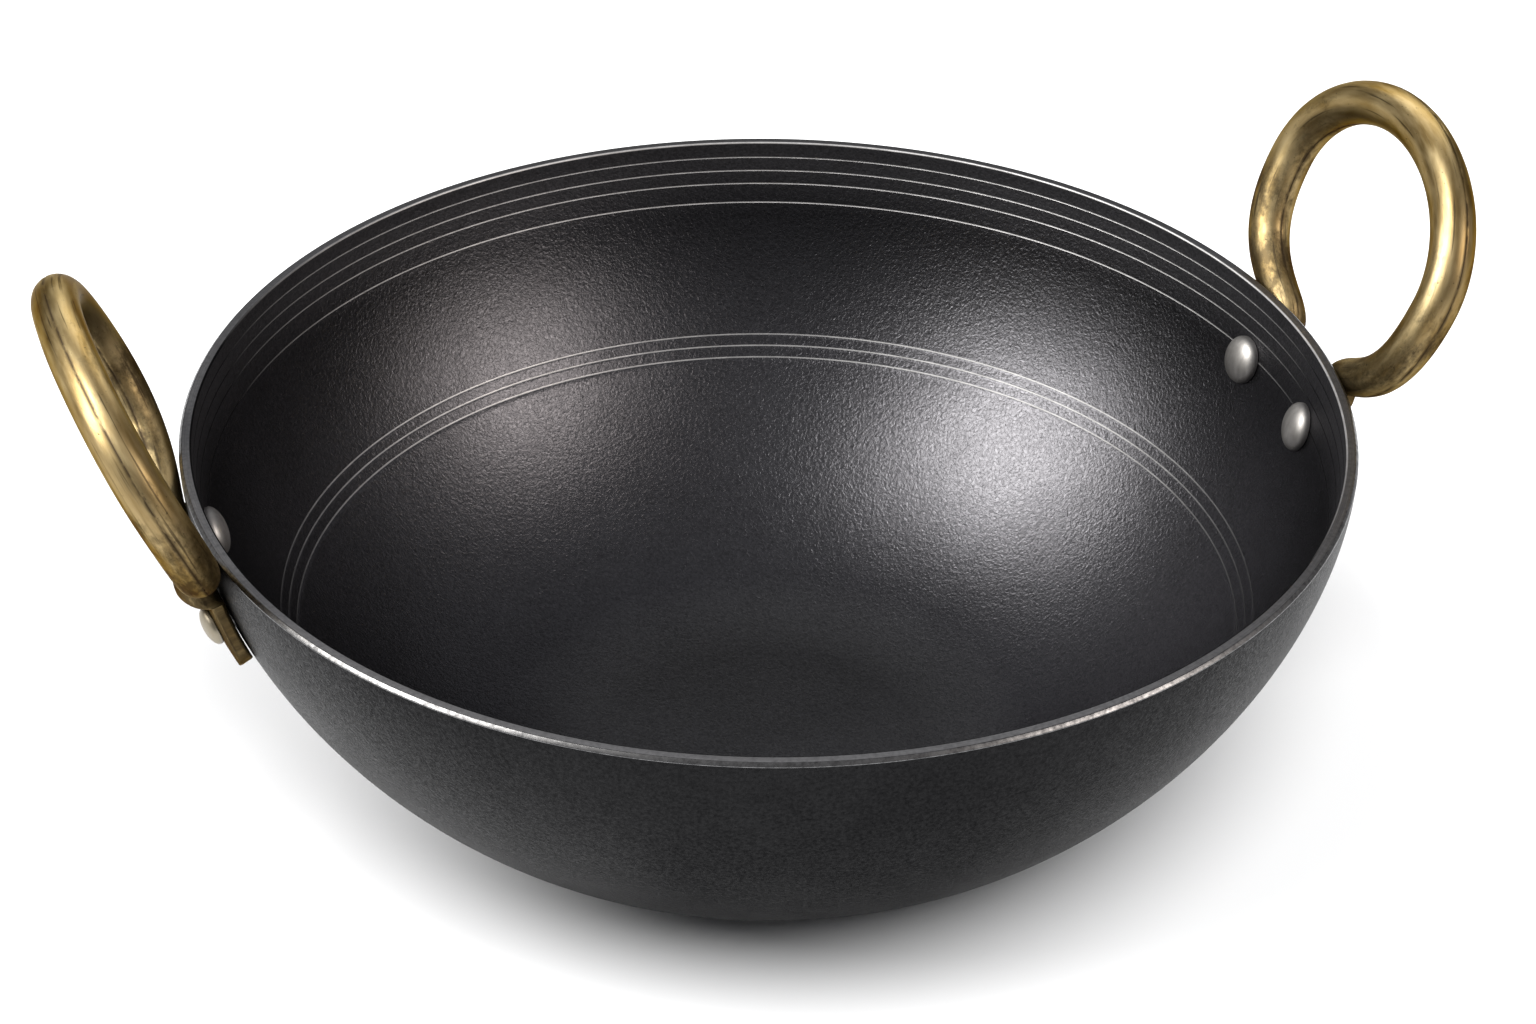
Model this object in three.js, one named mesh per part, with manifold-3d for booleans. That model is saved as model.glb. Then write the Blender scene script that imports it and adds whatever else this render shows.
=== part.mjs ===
// An iron kadai: a deep round pan with two cast brass loop handles, each held by two rivets.
// Millimetres, +Z up, origin at the middle of the flat base, handles at the +X and -X ends.

import * as THREE from 'three';
import { mergeVertices } from 'three/addons/utils/BufferGeometryUtils.js';
import Module from 'manifold-3d';

const wasm = await Module();
wasm.setup();

const { degToRad, lerp, smoothstep } = THREE.MathUtils;

// Pan
const RIM_RADIUS = 150;
const PAN_DEPTH = 107;
const BASE_RADIUS = 40;
const WALL = 3.2;
const RIM_LEAN = degToRad(1.2); // lean of the side at the rim, from upright
const SIDE_PULL = 40.3; // how far the side keeps its direction below the rim
const HEEL_PULL = 63; // how far the heel keeps the direction of the base
const RIM_CHAMFER = 0.8;

// Rings scribed round the inside, by their depths below the rim
const UPPER_RING_DEPTHS = [4.6, 8.6, 12.4, 17.8];
const LOWER_RING_DEPTHS = [52.1, 54.8, 57.5];
const RING_WIDTH = 0.6;
const RING_CUT = 0.25;

// Handles: a round bar bent to a loop, measured to the middle of the bar
const BAR_DIAMETER = 12;
const FOOT_DIAMETER = 9.6; // the bar thins towards its feet
const LOOP_HALF_WIDTH = 43.5;
const LOOP_WIDEST_HEIGHT = 26; // widest place, above the rim
const LOOP_REACH = 13.5; // widest place, out from the rim's edge
const LOOP_CROWN = 32; // from the widest place to the top, along the loop's plane
const LOOP_TILT = degToRad(24); // the loop's plane leans out from upright
const CROWN_ROUNDNESS = 0.55;
const LEG_PULL = 33; // how far a leg keeps the loop's plane below the widest place
const FOOT_PULL = 10; // how far a leg keeps the lug's direction above its shoulder

// Lugs: the flattened feet of a handle, which follow the wall of the pan
const LUG_WIDTH = 14;
const LUG_THICKNESS = 4;
const LUG_TAIL = 12; // from the rivet down to the rounded end
const LUG_SPLAY = degToRad(14); // the feet turn outwards, away from each other
const LUG_SQUARENESS = 6; // a section's corners: 2 is an ellipse, higher is squarer
const SHOULDER_RISE = 6.5; // from the rivet up to the step where the bar begins
const SHOULDER_LENGTH = 5;

// Rivets
const RIVET_SPACING = 37; // between the two rivets of a handle, along the wall
const RIVET_DEPTH = 21; // below the rim
const SHANK_DIAMETER = 6;
const INNER_HEAD_DIAMETER = 13;
const INNER_HEAD_HEIGHT = 3.8;
const OUTER_HEAD_DIAMETER = 10;
const OUTER_HEAD_HEIGHT = 3;
const HEAD_EDGE = 0.7; // straight edge of a head, below its dome
const SHANK_CLEARANCE = 0.3;
const SEAT_GAP = 0.3; // between pieces that bear on each other

// Facets
const PAN_SIDES = 64;
const SIDE_STEPS = 18;
const INNER_SIDE_STEPS = 5;
const INNER_HEEL_STEPS = 8;
const BAR_SIDES = 16;
const LEG_STEPS = 12;
const CROWN_STEPS = 9;
const SHOULDER_STEPS = 4;
const LUG_END_STEPS = 4;
const RIVET_SIDES = 20;
const DOME_STEPS = 5;
const WELD = 1e-4;
const BISECTIONS = 50;

const barRadius = BAR_DIAMETER / 2;
const footRadius = FOOT_DIAMETER / 2;
const holeRadius = SHANK_DIAMETER / 2 + SHANK_CLEARANCE;
const facetSag = RIM_RADIUS * (1 - Math.cos(Math.PI / PAN_SIDES));

const iron = { color: 0x2a2b2d, roughness: 0.5, metalness: 0.75 };
const brass = { color: 0xa58747, roughness: 0.36, metalness: 0.95 };
const steel = { color: 0xb4b1ac, roughness: 0.3, metalness: 1 };

// Solids for cutting

function toSolid(geometry) {
  const bare = new THREE.BufferGeometry();
  bare.setAttribute('position', geometry.getAttribute('position').clone());
  bare.setIndex(geometry.index.clone());
  const welded = mergeVertices(bare, WELD);
  const corners = welded.index.array;
  const triangles = [];
  for (let i = 0; i < corners.length; i += 3) {
    const [a, b, c] = corners.slice(i, i + 3);
    if (a !== b && b !== c && c !== a) {
      triangles.push(a, b, c);
    }
  }
  return new wasm.Manifold(new wasm.Mesh({
    numProp: 3,
    vertProperties: new Float32Array(welded.getAttribute('position').array),
    triVerts: new Uint32Array(triangles),
  }));
}

function fromSolid(solid) {
  const mesh = solid.getMesh();
  const geometry = new THREE.BufferGeometry();
  geometry.setAttribute('position', new THREE.BufferAttribute(mesh.vertProperties, mesh.numProp));
  geometry.setIndex(new THREE.BufferAttribute(mesh.triVerts, 1));
  geometry.computeVertexNormals();
  return geometry;
}

// The pan's side, as one curve from the rim to the edge of the flat base

const rimPoint = new THREE.Vector2(RIM_RADIUS, PAN_DEPTH);
const heelPoint = new THREE.Vector2(BASE_RADIUS, 0);
const side = new THREE.CubicBezierCurve(
  rimPoint,
  new THREE.Vector2(-Math.sin(RIM_LEAN), -Math.cos(RIM_LEAN)).multiplyScalar(SIDE_PULL).add(rimPoint),
  new THREE.Vector2(HEEL_PULL, 0).add(heelPoint),
  heelPoint,
);

// A point of the side, moved into the wall by inset
function sidePoint(t, inset = 0) {
  const tangent = side.getTangent(t);
  return side.getPoint(t).add(new THREE.Vector2(tangent.y, -tangent.x).multiplyScalar(inset));
}

// The curve's parameter where the side, moved in by inset, is at a depth below the rim
function parameterAtDepth(depth, inset = 0) {
  let low = 0;
  let high = 1;
  for (let i = 0; i < BISECTIONS; i += 1) {
    const middle = (low + high) / 2;
    if (PAN_DEPTH - sidePoint(middle, inset).y < depth) {
      low = middle;
    } else {
      high = middle;
    }
  }
  return (low + high) / 2;
}

function wallAtDepth(depth, inset = 0) {
  const t = parameterAtDepth(depth, inset);
  const tangent = side.getTangent(t);
  return { point: sidePoint(t, inset), slope: Math.atan2(-tangent.x, -tangent.y) };
}

function stretch(from, to, steps, inset) {
  const points = [];
  for (let i = 1; i < steps; i += 1) {
    points.push(sidePoint(from + ((to - from) * i) / steps, inset));
  }
  return points;
}

function ringCut(depth) {
  const top = wallAtDepth(depth - RING_WIDTH / 2, WALL).point;
  const bottom = wallAtDepth(depth + RING_WIDTH / 2, WALL).point;
  const root = wallAtDepth(depth, WALL - RING_CUT).point;
  return [top, root, bottom];
}

function panProfile() {
  const lowestUpper = Math.max(...UPPER_RING_DEPTHS) + RING_WIDTH / 2;
  const highestLower = Math.min(...LOWER_RING_DEPTHS) - RING_WIDTH / 2;
  const lowestLower = Math.max(...LOWER_RING_DEPTHS) + RING_WIDTH / 2;
  const chamferStart = parameterAtDepth(RIM_CHAMFER);
  const outside = [
    new THREE.Vector2(0, 0),
    heelPoint,
    ...stretch(1, chamferStart, SIDE_STEPS, 0),
    sidePoint(chamferStart),
    new THREE.Vector2(RIM_RADIUS - RIM_CHAMFER, PAN_DEPTH),
  ];
  const inside = [
    new THREE.Vector2(wallAtDepth(0, WALL).point.x, PAN_DEPTH),
    ...UPPER_RING_DEPTHS.flatMap(ringCut),
    ...stretch(parameterAtDepth(lowestUpper, WALL), parameterAtDepth(highestLower, WALL),
      INNER_SIDE_STEPS, WALL),
    ...LOWER_RING_DEPTHS.flatMap(ringCut),
    ...stretch(parameterAtDepth(lowestLower, WALL), 1, INNER_HEEL_STEPS, WALL),
    sidePoint(1, WALL),
    new THREE.Vector2(0, WALL),
  ];
  return [...outside, ...inside];
}

// A place on the outside of the wall, by its arc from the handle's middle and its depth

const rivetWall = wallAtDepth(RIVET_DEPTH);

function wallPlace(across, depth) {
  const { point, slope } = wallAtDepth(depth);
  const turn = across / rivetWall.point.x;
  const radial = new THREE.Vector3(Math.cos(turn), Math.sin(turn), 0);
  const upright = new THREE.Vector3(0, 0, 1);
  return {
    point: radial.clone().multiplyScalar(point.x).setZ(point.y),
    out: radial.clone().multiplyScalar(Math.cos(slope)).addScaledVector(upright, -Math.sin(slope)),
    up: radial.clone().multiplyScalar(Math.sin(slope)).addScaledVector(upright, Math.cos(slope)),
    across: new THREE.Vector3(-Math.sin(turn), Math.cos(turn), 0),
  };
}

// A place on the line of a lug, by its distance above the rivet
function lugPlace(rise) {
  const depth = RIVET_DEPTH - rise * Math.cos(LUG_SPLAY) * Math.cos(rivetWall.slope);
  const place = wallPlace(RIVET_SPACING / 2 - rise * Math.sin(LUG_SPLAY), depth);
  const { up, across } = place;
  place.along = up.clone().multiplyScalar(Math.cos(LUG_SPLAY))
    .addScaledVector(across, -Math.sin(LUG_SPLAY));
  place.broad = across.clone().multiplyScalar(Math.cos(LUG_SPLAY))
    .addScaledVector(up, Math.sin(LUG_SPLAY));
  return place;
}

// Sections of a handle: a middle, two directions, two half sizes and a squareness

function lugSection(rise, halfWidth, thickness, squareness) {
  const { point, out, broad } = lugPlace(rise);
  return {
    middle: point.clone().addScaledVector(out, SEAT_GAP + thickness / 2),
    broad,
    thick: out,
    halfWidth,
    halfThickness: thickness / 2,
    squareness,
  };
}

function lugSections() {
  const sections = [];
  const endRadius = LUG_WIDTH / 2;
  for (let i = 0; i < LUG_END_STEPS; i += 1) {
    const angle = (Math.PI / 2) * ((i + 0.5) / LUG_END_STEPS);
    const rise = endRadius * (1 - Math.cos(angle)) - LUG_TAIL;
    sections.push(lugSection(rise, endRadius * Math.sin(angle), LUG_THICKNESS, LUG_SQUARENESS));
  }
  sections.push(lugSection(endRadius - LUG_TAIL, endRadius, LUG_THICKNESS, LUG_SQUARENESS));
  // The shoulder swells from the lug to the round foot of the bar in a quarter of an ellipse
  for (let i = 0; i <= SHOULDER_STEPS; i += 1) {
    const angle = (Math.PI / 2) * (i / SHOULDER_STEPS);
    const swell = Math.sin(angle);
    const rise = SHOULDER_RISE + SHOULDER_LENGTH * (1 - Math.cos(angle));
    sections.push(lugSection(
      rise,
      lerp(endRadius, footRadius, swell),
      lerp(LUG_THICKNESS, FOOT_DIAMETER, swell),
      lerp(LUG_SQUARENESS, 2, swell),
    ));
  }
  return sections;
}

function barSection(curve, t, planeNormal, radius) {
  const tangent = curve.getTangent(t);
  const thick = planeNormal.clone().addScaledVector(tangent, -planeNormal.dot(tangent)).normalize();
  return {
    middle: curve.getPoint(t),
    broad: tangent.clone().cross(thick),
    thick,
    halfWidth: radius,
    halfThickness: radius,
    squareness: 2,
  };
}

// One half of the loop, from its shoulder to the top
function legSections() {
  const planeUp = new THREE.Vector3(Math.sin(LOOP_TILT), 0, Math.cos(LOOP_TILT));
  const planeNormal = new THREE.Vector3(Math.cos(LOOP_TILT), 0, -Math.sin(LOOP_TILT));
  const foot = lugPlace(SHOULDER_RISE + SHOULDER_LENGTH);
  const start = foot.point.clone().addScaledVector(foot.out, SEAT_GAP + footRadius);
  const widest = new THREE.Vector3(
    RIM_RADIUS + LOOP_REACH, LOOP_HALF_WIDTH, PAN_DEPTH + LOOP_WIDEST_HEIGHT,
  );
  const top = widest.clone().setY(0).addScaledVector(planeUp, LOOP_CROWN);
  const leg = new THREE.CubicBezierCurve3(
    start,
    start.clone().addScaledVector(foot.along, FOOT_PULL),
    widest.clone().addScaledVector(planeUp, -LEG_PULL),
    widest,
  );
  const crown = new THREE.CubicBezierCurve3(
    widest,
    widest.clone().addScaledVector(planeUp, LOOP_CROWN * CROWN_ROUNDNESS),
    top.clone().setY(LOOP_HALF_WIDTH * CROWN_ROUNDNESS),
    top,
  );
  const sections = [];
  for (let i = 1; i <= LEG_STEPS; i += 1) {
    const t = i / LEG_STEPS;
    const radius = lerp(footRadius, barRadius, smoothstep(t, 0, 1));
    sections.push(barSection(leg, t, planeNormal, radius));
  }
  for (let i = 1; i <= CROWN_STEPS; i += 1) {
    sections.push(barSection(crown, i / CROWN_STEPS, planeNormal, barRadius));
  }
  return sections;
}

function mirrored(section) {
  const flip = new THREE.Vector3(1, -1, 1);
  return {
    ...section,
    middle: section.middle.clone().multiply(flip),
    broad: section.broad.clone().multiply(flip),
    thick: section.thick.clone().multiply(flip),
  };
}

function sectionPoints(section) {
  const power = 2 / section.squareness;
  const round = (value) => Math.sign(value) * Math.abs(value) ** power;
  const points = [];
  for (let i = 0; i < BAR_SIDES; i += 1) {
    const angle = (2 * Math.PI * (i + 0.5)) / BAR_SIDES;
    points.push(section.middle.clone()
      .addScaledVector(section.broad, section.halfWidth * round(Math.cos(angle)))
      .addScaledVector(section.thick, section.halfThickness * round(Math.sin(angle))));
  }
  return points;
}

// A closed skin over a row of sections, with a fan over each end
function loft(sections) {
  const points = sections.flatMap(sectionPoints);
  const triangles = [];
  for (let i = 0; i + 1 < sections.length; i += 1) {
    for (let j = 0; j < BAR_SIDES; j += 1) {
      const a = i * BAR_SIDES + j;
      const b = i * BAR_SIDES + ((j + 1) % BAR_SIDES);
      triangles.push(a, a + BAR_SIDES, b, b, a + BAR_SIDES, b + BAR_SIDES);
    }
  }
  const last = (sections.length - 1) * BAR_SIDES;
  for (let j = 1; j + 1 < BAR_SIDES; j += 1) {
    triangles.push(0, j, j + 1);
    triangles.push(last, last + j + 1, last + j);
  }
  const geometry = new THREE.BufferGeometry().setFromPoints(points);
  geometry.setIndex(triangles);
  return geometry;
}

// A rivet stands along +Y here, from its inner head to its outer one, with y = 0 on the outer wall

const innerWallRadius = wallAtDepth(RIVET_DEPTH, WALL).point.x;
const innerSeat = -WALL - SEAT_GAP - facetSag - (INNER_HEAD_DIAMETER / 2) ** 2 / (2 * innerWallRadius);
const outerSeat = SEAT_GAP + LUG_THICKNESS + SEAT_GAP;

function domeProfile(radius, height, seat, direction) {
  const points = [new THREE.Vector2(radius, seat)];
  for (let i = 0; i <= DOME_STEPS; i += 1) {
    const angle = (Math.PI / 2) * (i / DOME_STEPS);
    const rise = HEAD_EDGE + (height - HEAD_EDGE) * Math.sin(angle);
    points.push(new THREE.Vector2(radius * Math.cos(angle), seat + direction * rise));
  }
  points[points.length - 1].x = 0;
  return points;
}

function rivetGeometry() {
  const inner = domeProfile(INNER_HEAD_DIAMETER / 2, INNER_HEAD_HEIGHT, innerSeat, -1);
  const outer = domeProfile(OUTER_HEAD_DIAMETER / 2, OUTER_HEAD_HEIGHT, outerSeat, 1);
  const shank = [
    new THREE.Vector2(SHANK_DIAMETER / 2, innerSeat),
    new THREE.Vector2(SHANK_DIAMETER / 2, outerSeat),
  ];
  return new THREE.LatheGeometry([...inner.reverse(), ...shank, ...outer], RIVET_SIDES);
}

// The line of a rivet, at the +Y foot or the -Y foot of the handle at the +X end
function rivetPlacement(foot) {
  const { point, out } = wallPlace((foot * RIVET_SPACING) / 2, RIVET_DEPTH);
  const turn = new THREE.Quaternion().setFromUnitVectors(new THREE.Vector3(0, 1, 0), out);
  return new THREE.Matrix4().compose(point, turn, new THREE.Vector3(1, 1, 1));
}

// A hole's middle is on the outer wall, and it passes both the wall and the lug
function rivetHole(foot) {
  const length = 2 * (WALL + LUG_THICKNESS + SEAT_GAP);
  const drill = new THREE.CylinderGeometry(holeRadius, holeRadius, length, RIVET_SIDES);
  return drill.applyMatrix4(rivetPlacement(foot));
}

const FEET = [1, -1];
const HALF_TURN = new THREE.Matrix4().makeRotationZ(Math.PI);

// Pieces

function panGeometry() {
  const bowl = new THREE.LatheGeometry(panProfile(), PAN_SIDES).rotateX(Math.PI / 2);
  let solid = toSolid(bowl);
  for (const foot of FEET) {
    const hole = rivetHole(foot);
    solid = solid.subtract(toSolid(hole));
    solid = solid.subtract(toSolid(hole.clone().applyMatrix4(HALF_TURN)));
  }
  return fromSolid(solid);
}

function handleGeometry() {
  const half = [...lugSections(), ...legSections()];
  const otherHalf = half.slice(0, -1).reverse().map(mirrored);
  let solid = toSolid(loft([...half, ...otherHalf]));
  for (const foot of FEET) {
    solid = solid.subtract(toSolid(rivetHole(foot)));
  }
  return fromSolid(solid);
}

function piece(name, geometry, finish) {
  const mesh = new THREE.Mesh(geometry, new THREE.MeshStandardMaterial(finish));
  mesh.name = name;
  return mesh;
}

// A handle with its two rivets, at the +X end
function handleGroup(end, footNames) {
  const group = new THREE.Group();
  group.add(piece(`handle_${end}`, handleGeometry(), brass));
  FEET.forEach((foot, i) => {
    const rivet = piece(`rivet_${end}_${footNames[i]}`, rivetGeometry(), steel);
    rivetPlacement(foot).decompose(rivet.position, rivet.quaternion, rivet.scale);
    group.add(rivet);
  });
  return group;
}

const kadai = new THREE.Group();
kadai.name = 'kadai';
kadai.add(piece('pan', panGeometry(), iron));
kadai.add(handleGroup('right', ['back', 'front']));
const leftHandle = handleGroup('left', ['front', 'back']);
leftHandle.rotation.z = Math.PI;
kadai.add(leftHandle);

export default kadai;
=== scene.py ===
import math
from collections import namedtuple

import bpy
from mathutils import Matrix, Quaternion, Vector, noise


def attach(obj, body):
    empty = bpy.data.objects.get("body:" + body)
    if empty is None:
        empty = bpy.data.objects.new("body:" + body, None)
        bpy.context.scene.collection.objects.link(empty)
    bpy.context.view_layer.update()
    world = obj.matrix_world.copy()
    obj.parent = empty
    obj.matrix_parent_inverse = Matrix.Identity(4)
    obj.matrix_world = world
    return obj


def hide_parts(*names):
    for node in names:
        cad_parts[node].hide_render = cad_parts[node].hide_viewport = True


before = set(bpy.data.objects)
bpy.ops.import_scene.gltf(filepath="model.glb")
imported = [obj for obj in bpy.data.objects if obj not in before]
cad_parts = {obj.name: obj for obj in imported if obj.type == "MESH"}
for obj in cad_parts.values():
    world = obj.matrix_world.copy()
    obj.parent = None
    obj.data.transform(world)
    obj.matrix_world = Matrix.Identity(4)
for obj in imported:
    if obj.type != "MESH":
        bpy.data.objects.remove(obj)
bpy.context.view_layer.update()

# Sizes are in millimetres, as in the part's source, and become metres when a mesh is made.
MM = 0.001

# Pan
RIM_RADIUS = 150.0
PAN_DEPTH = 107.0
BASE_RADIUS = 40.0
WALL = 3.2
RIM_LEAN = math.radians(1.2)
SIDE_PULL = 40.3  # the handles of the side's curve, at the rim
HEEL_PULL = 63.0  # and at the edge of the base
RIM_CHAMFER = 0.8
EDGE_ROUND = 0.16  # the edges of the ground rim are broken by hand
INNER_EDGE_ROUND = 0.42  # the inner one more, to bare metal with a painted highlight
INSIDE_START = 2 * INNER_EDGE_ROUND  # depth at which the inside is free of that edge

# Rings scribed round the inside, by their depths below the rim
RING_DEPTHS = (4.6, 8.6, 12.4, 17.8, 52.1, 54.8, 57.5)
RING_WIDTH = 0.35
RING_FLANK = 0.05  # height of a ring's sloping side, above and below its floor
RING_CUT = 0.05

# Handles
BAR_RADIUS = 5.92  # a shade under the 6 of the solids, so that the loop stays inside their box
FOOT_RADIUS = 4.8  # the bar thins towards its feet
LOOP_HALF_WIDTH = 43.5
LOOP_WIDEST_HEIGHT = 26.0  # above the rim
LOOP_REACH = 13.5  # outwards from the rim, where the loop is widest
LOOP_CROWN = 32.0  # from there to the top of the loop
LOOP_TILT = math.radians(24)
CROWN_ROUNDNESS = 0.55
LEG_PULL = 33.0  # the handles of a leg's curve, at the widest place
FOOT_PULL = 10.0  # and at the foot
LUG_WIDTH = 14.0
LUG_THICKNESS = 4.0
LUG_TAIL = 12.0  # below the rivet
LUG_SPLAY = math.radians(14)
LUG_END_ROUND = 0.8
LUG_END_START = 0.4  # share of the first step, so that the lug doesn't begin as a point
SHOULDER_RISE = 6.5
SHOULDER_LENGTH = 5.0
LUG_SQUARENESS = 6.0
ROUND = 2.0  # squareness of a round bar

# Traces of the mould and of wear on a handle
SEAM_CUT = 0.13  # the mould's parting line, a shallow groove round the loop
SEAM_GROOVE = 0.3  # half the width of the groove
SEAM_SPREAD = 0.9  # half the width of the dark line along it
HOLLOW_MEAN = 0.03  # slight hollows in the bar
HOLLOW_SWING = 0.10
HOLLOW_ALONG = 0.05  # their noise, per millimetre along the bar
HOLLOW_ROUND = 2.2  # and its radius round the bar
HANDLE_SEEDS = {"right": 0.37, "left": 1.91}

# Rivets
RIVET_SPACING = 37.0
RIVET_DEPTH = 21.0
SHANK_RADIUS = 3.0
INNER_HEAD_RADIUS = 6.5
INNER_HEAD_HEIGHT = 3.8
OUTER_HEAD_RADIUS = 5.0
OUTER_HEAD_HEIGHT = 3.0
HEAD_EDGE = 0.7
HEAD_CORNER = 0.25  # how far the lower edge of a head is broken, across
HEAD_CORNER_RISE = 0.2  # and along the rivet
HEAD_GAP = 0.06  # between a head and what it holds
SHANK_CLEARANCE = 0.3
SEAT_GAP = 0.3
HOLE_MARGIN = 1.0  # the cutters of the holes reach past the wall and the lug

# Fineness of the meshes
PAN_SIDES = 320
SIDE_STEPS = 64
INSIDE_STEP = 2.2  # height of a band of the inside between the rings
LEAST_BANDS = 4
CORNER_STEPS = 3
INNER_CORNER_STEPS = 5
BAR_STEPS = 56
LUG_STEPS = 12
SHOULDER_STEPS = 14
SEAM_ANGLES = (-9, -4.5, -1.8, 0, 1.8, 4.5, 9)  # degrees round the bar, beside a parting line
BAR_ANGLES = range(18, 171, 9)  # and between the two lines
RIVET_SIDES = 64
DOME_STEPS = 14
BISECTIONS = 50
PAN_SHARP_ANGLE = 28  # degrees, above which an edge is shaded as a sharp one
SHARP_ANGLE = 50

# Camera, from the ellipses of the rim and the rings in the photograph
CAMERA_TURN = math.radians(-18.5)  # from the part's front, round its axis
CAMERA_RISE = math.radians(31.81)
CAMERA_DISTANCE = 1023.9  # from the middle of the rim
CAMERA_PITCH = math.radians(-1.425)
CAMERA_ROLL = math.radians(-0.623)
CAMERA_LENS = 93.75
CAMERA_SENSOR = 36.0
BACK = (-math.sin(CAMERA_TURN), math.cos(CAMERA_TURN), 0.0)
RIGHT = (math.cos(CAMERA_TURN), math.sin(CAMERA_TURN), 0.0)

# Stage
FLOOR_HALF = 4000.0
FLOOR_DROP = 0.3  # keeps the floor clear of the base
LAMP_DISTANCE = 1800.0
CEILING = (0.0, 0.6)  # upward part of a direction, from the dim walls to the bright ceiling

# Colours, each pair from dark to pale
BLACK_IRON = ((0.056, 0.0555, 0.0605, 1), (0.124, 0.1235, 0.134, 1))
# pale iron of the floor, for wear and for painted light that lifts its shade
WORN_LIFTED_IRON = ((0.075, 0.076, 0.080, 1), (0.165, 0.166, 0.174, 1))
# painted shade, darkening a band of the inside below the rim
BAND_SHADE_IRON = (0.02, 0.02, 0.0215, 1)
FIRED_IRON = ((0.0100, 0.0100, 0.0105, 1), (0.0200, 0.0200, 0.0209, 1))
GROUND_IRON = ((0.30, 0.30, 0.31, 1), (0.54, 0.54, 0.55, 1))
# painted shade on the rim's land
LAND_SHADE_IRON = (0.06, 0.06, 0.063, 1)
BRIGHT_IRON = ((0.09, 0.09, 0.093, 1), (0.22, 0.22, 0.223, 1))
# dark to pale, for the painted highlight of the rings and the rim's inner edge
RING_IRON = ((0.012, 0.012, 0.013, 1), (0.90, 0.90, 0.91, 1))
IRON_EDGE = (0.6, 0.6, 0.6, 1)  # tint of what reflects at a grazing angle
GOLDEN_BRASS = ((0.182, 0.122, 0.048, 1), (0.31, 0.233, 0.117, 1))
# patina, also used as painted shade near the pan
BRASS_PATINA_AND_SHADE = (0.034, 0.024, 0.013, 1)
BRASS_LINES = (0.035, 0.024, 0.014, 1)
BRASS_PITS = (0.04, 0.03, 0.018, 1)
BRASS_EDGE = (0.32, 0.28, 0.22, 1)
SATIN_STEEL = ((0.34, 0.33, 0.32, 1), (0.50, 0.49, 0.475, 1))
BRASSY_STEEL = (0.22, 0.185, 0.12, 1)
PALE_FLOOR = ((0.79, 0.79, 0.79, 1), (0.81, 0.81, 0.81, 1))
ROOM = ((0.05, 0.05, 0.052, 1), (0.27, 0.27, 0.28, 1))

# Zones over which a finish changes, in metres, because shaders measure in metres
# the pan's floor is paler from wear and from painted light that lifts its shade
FLOOR_WEAR_AND_LIFT = (0.0034, 0.009)  # heights inside the pan
# a band of painted shade on the inside begins and ends over these heights
SHADE_BAND_BEGINS = (0.045, 0.075)
SHADE_BAND_ENDS = (0.086, 0.100)
DRY_IRON = (0.086, 0.102)
BETWEEN_RINGS = (0.055, 0.085)  # between the lower rings and the upper ones
INNER_EDGE = (0.1045, 0.1058)  # between the highest ring and the rim's inner edge
# patina and painted shade grow down the handles towards the pan
NEAR_PAN = (0.154, 0.112)  # heights down the handles
# the painted highlight of the rings and the rim's inner edge grows over these distances towards the
# back, and for the edge towards the right
LIT_BACK = (0.03, 0.12)  # distances towards the back
# the painted shade of the rim's land grows over these distances towards the back, and towards the right
LAND_SHADE_BACK = (-0.12, 0.12)
LIT_RIGHT = (0.09, 0.14)  # distances towards the right
LAND_SHADE_RIGHT = (0.08, 0.14)
# the painted highlight of the lower rings dims towards the right
LOW_RINGS_LIT_FADE = (-0.03, 0.06)
# the outside's painted sheen grows towards either handle from the dim middle
BESIDE = (0.03, 0.13)  # distances towards either handle from DARK_MIDDLE
DARK_MIDDLE = -0.03
OUTER_HEADS = (0.149, 0.151)  # distances from the pan's axis

# Parts of a noise's range that are spread from dark to pale
WIDE = (0.3, 0.7)
NARROW = (0.35, 0.65)


# Mesh helpers

def add_object(name, data):
    thing = bpy.data.objects.new(name, data)
    bpy.context.scene.collection.objects.link(thing)
    return thing


def make_piece(name, points, faces, materials):
    """A new object from points in millimetres and faces given as (corners, material number)."""
    mesh = bpy.data.meshes.new(name)
    mesh.from_pydata([Vector(p) * MM for p in points], [], [corners for corners, _ in faces])
    for material in materials:
        mesh.materials.append(material)
    for polygon, (_, number) in zip(mesh.polygons, faces):
        polygon.material_index = number
        polygon.use_smooth = True
    return add_object(name, mesh)


def add_point_values(piece, name, kind, values):
    layer = piece.data.attributes.new(name, kind, "POINT")
    layer.data.foreach_set("vector" if kind == "FLOAT_VECTOR" else "value", values)


def drill(piece, cutters):
    """Cuts the solids out of the piece and leaves a plain mesh."""
    for cutter in cutters:
        cut = piece.modifiers.new(cutter.name, "BOOLEAN")
        cut.operation = "DIFFERENCE"
        cut.solver = "EXACT"
        cut.object = cutter
    depsgraph = bpy.context.evaluated_depsgraph_get()
    done = bpy.data.meshes.new_from_object(piece.evaluated_get(depsgraph))
    done.name = piece.name
    piece.modifiers.clear()
    piece.data = done
    for cutter in cutters:
        bpy.data.objects.remove(cutter)


def smooth_by_angle(piece, degrees):
    piece.data.set_sharp_from_angle(angle=math.radians(degrees))


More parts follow.
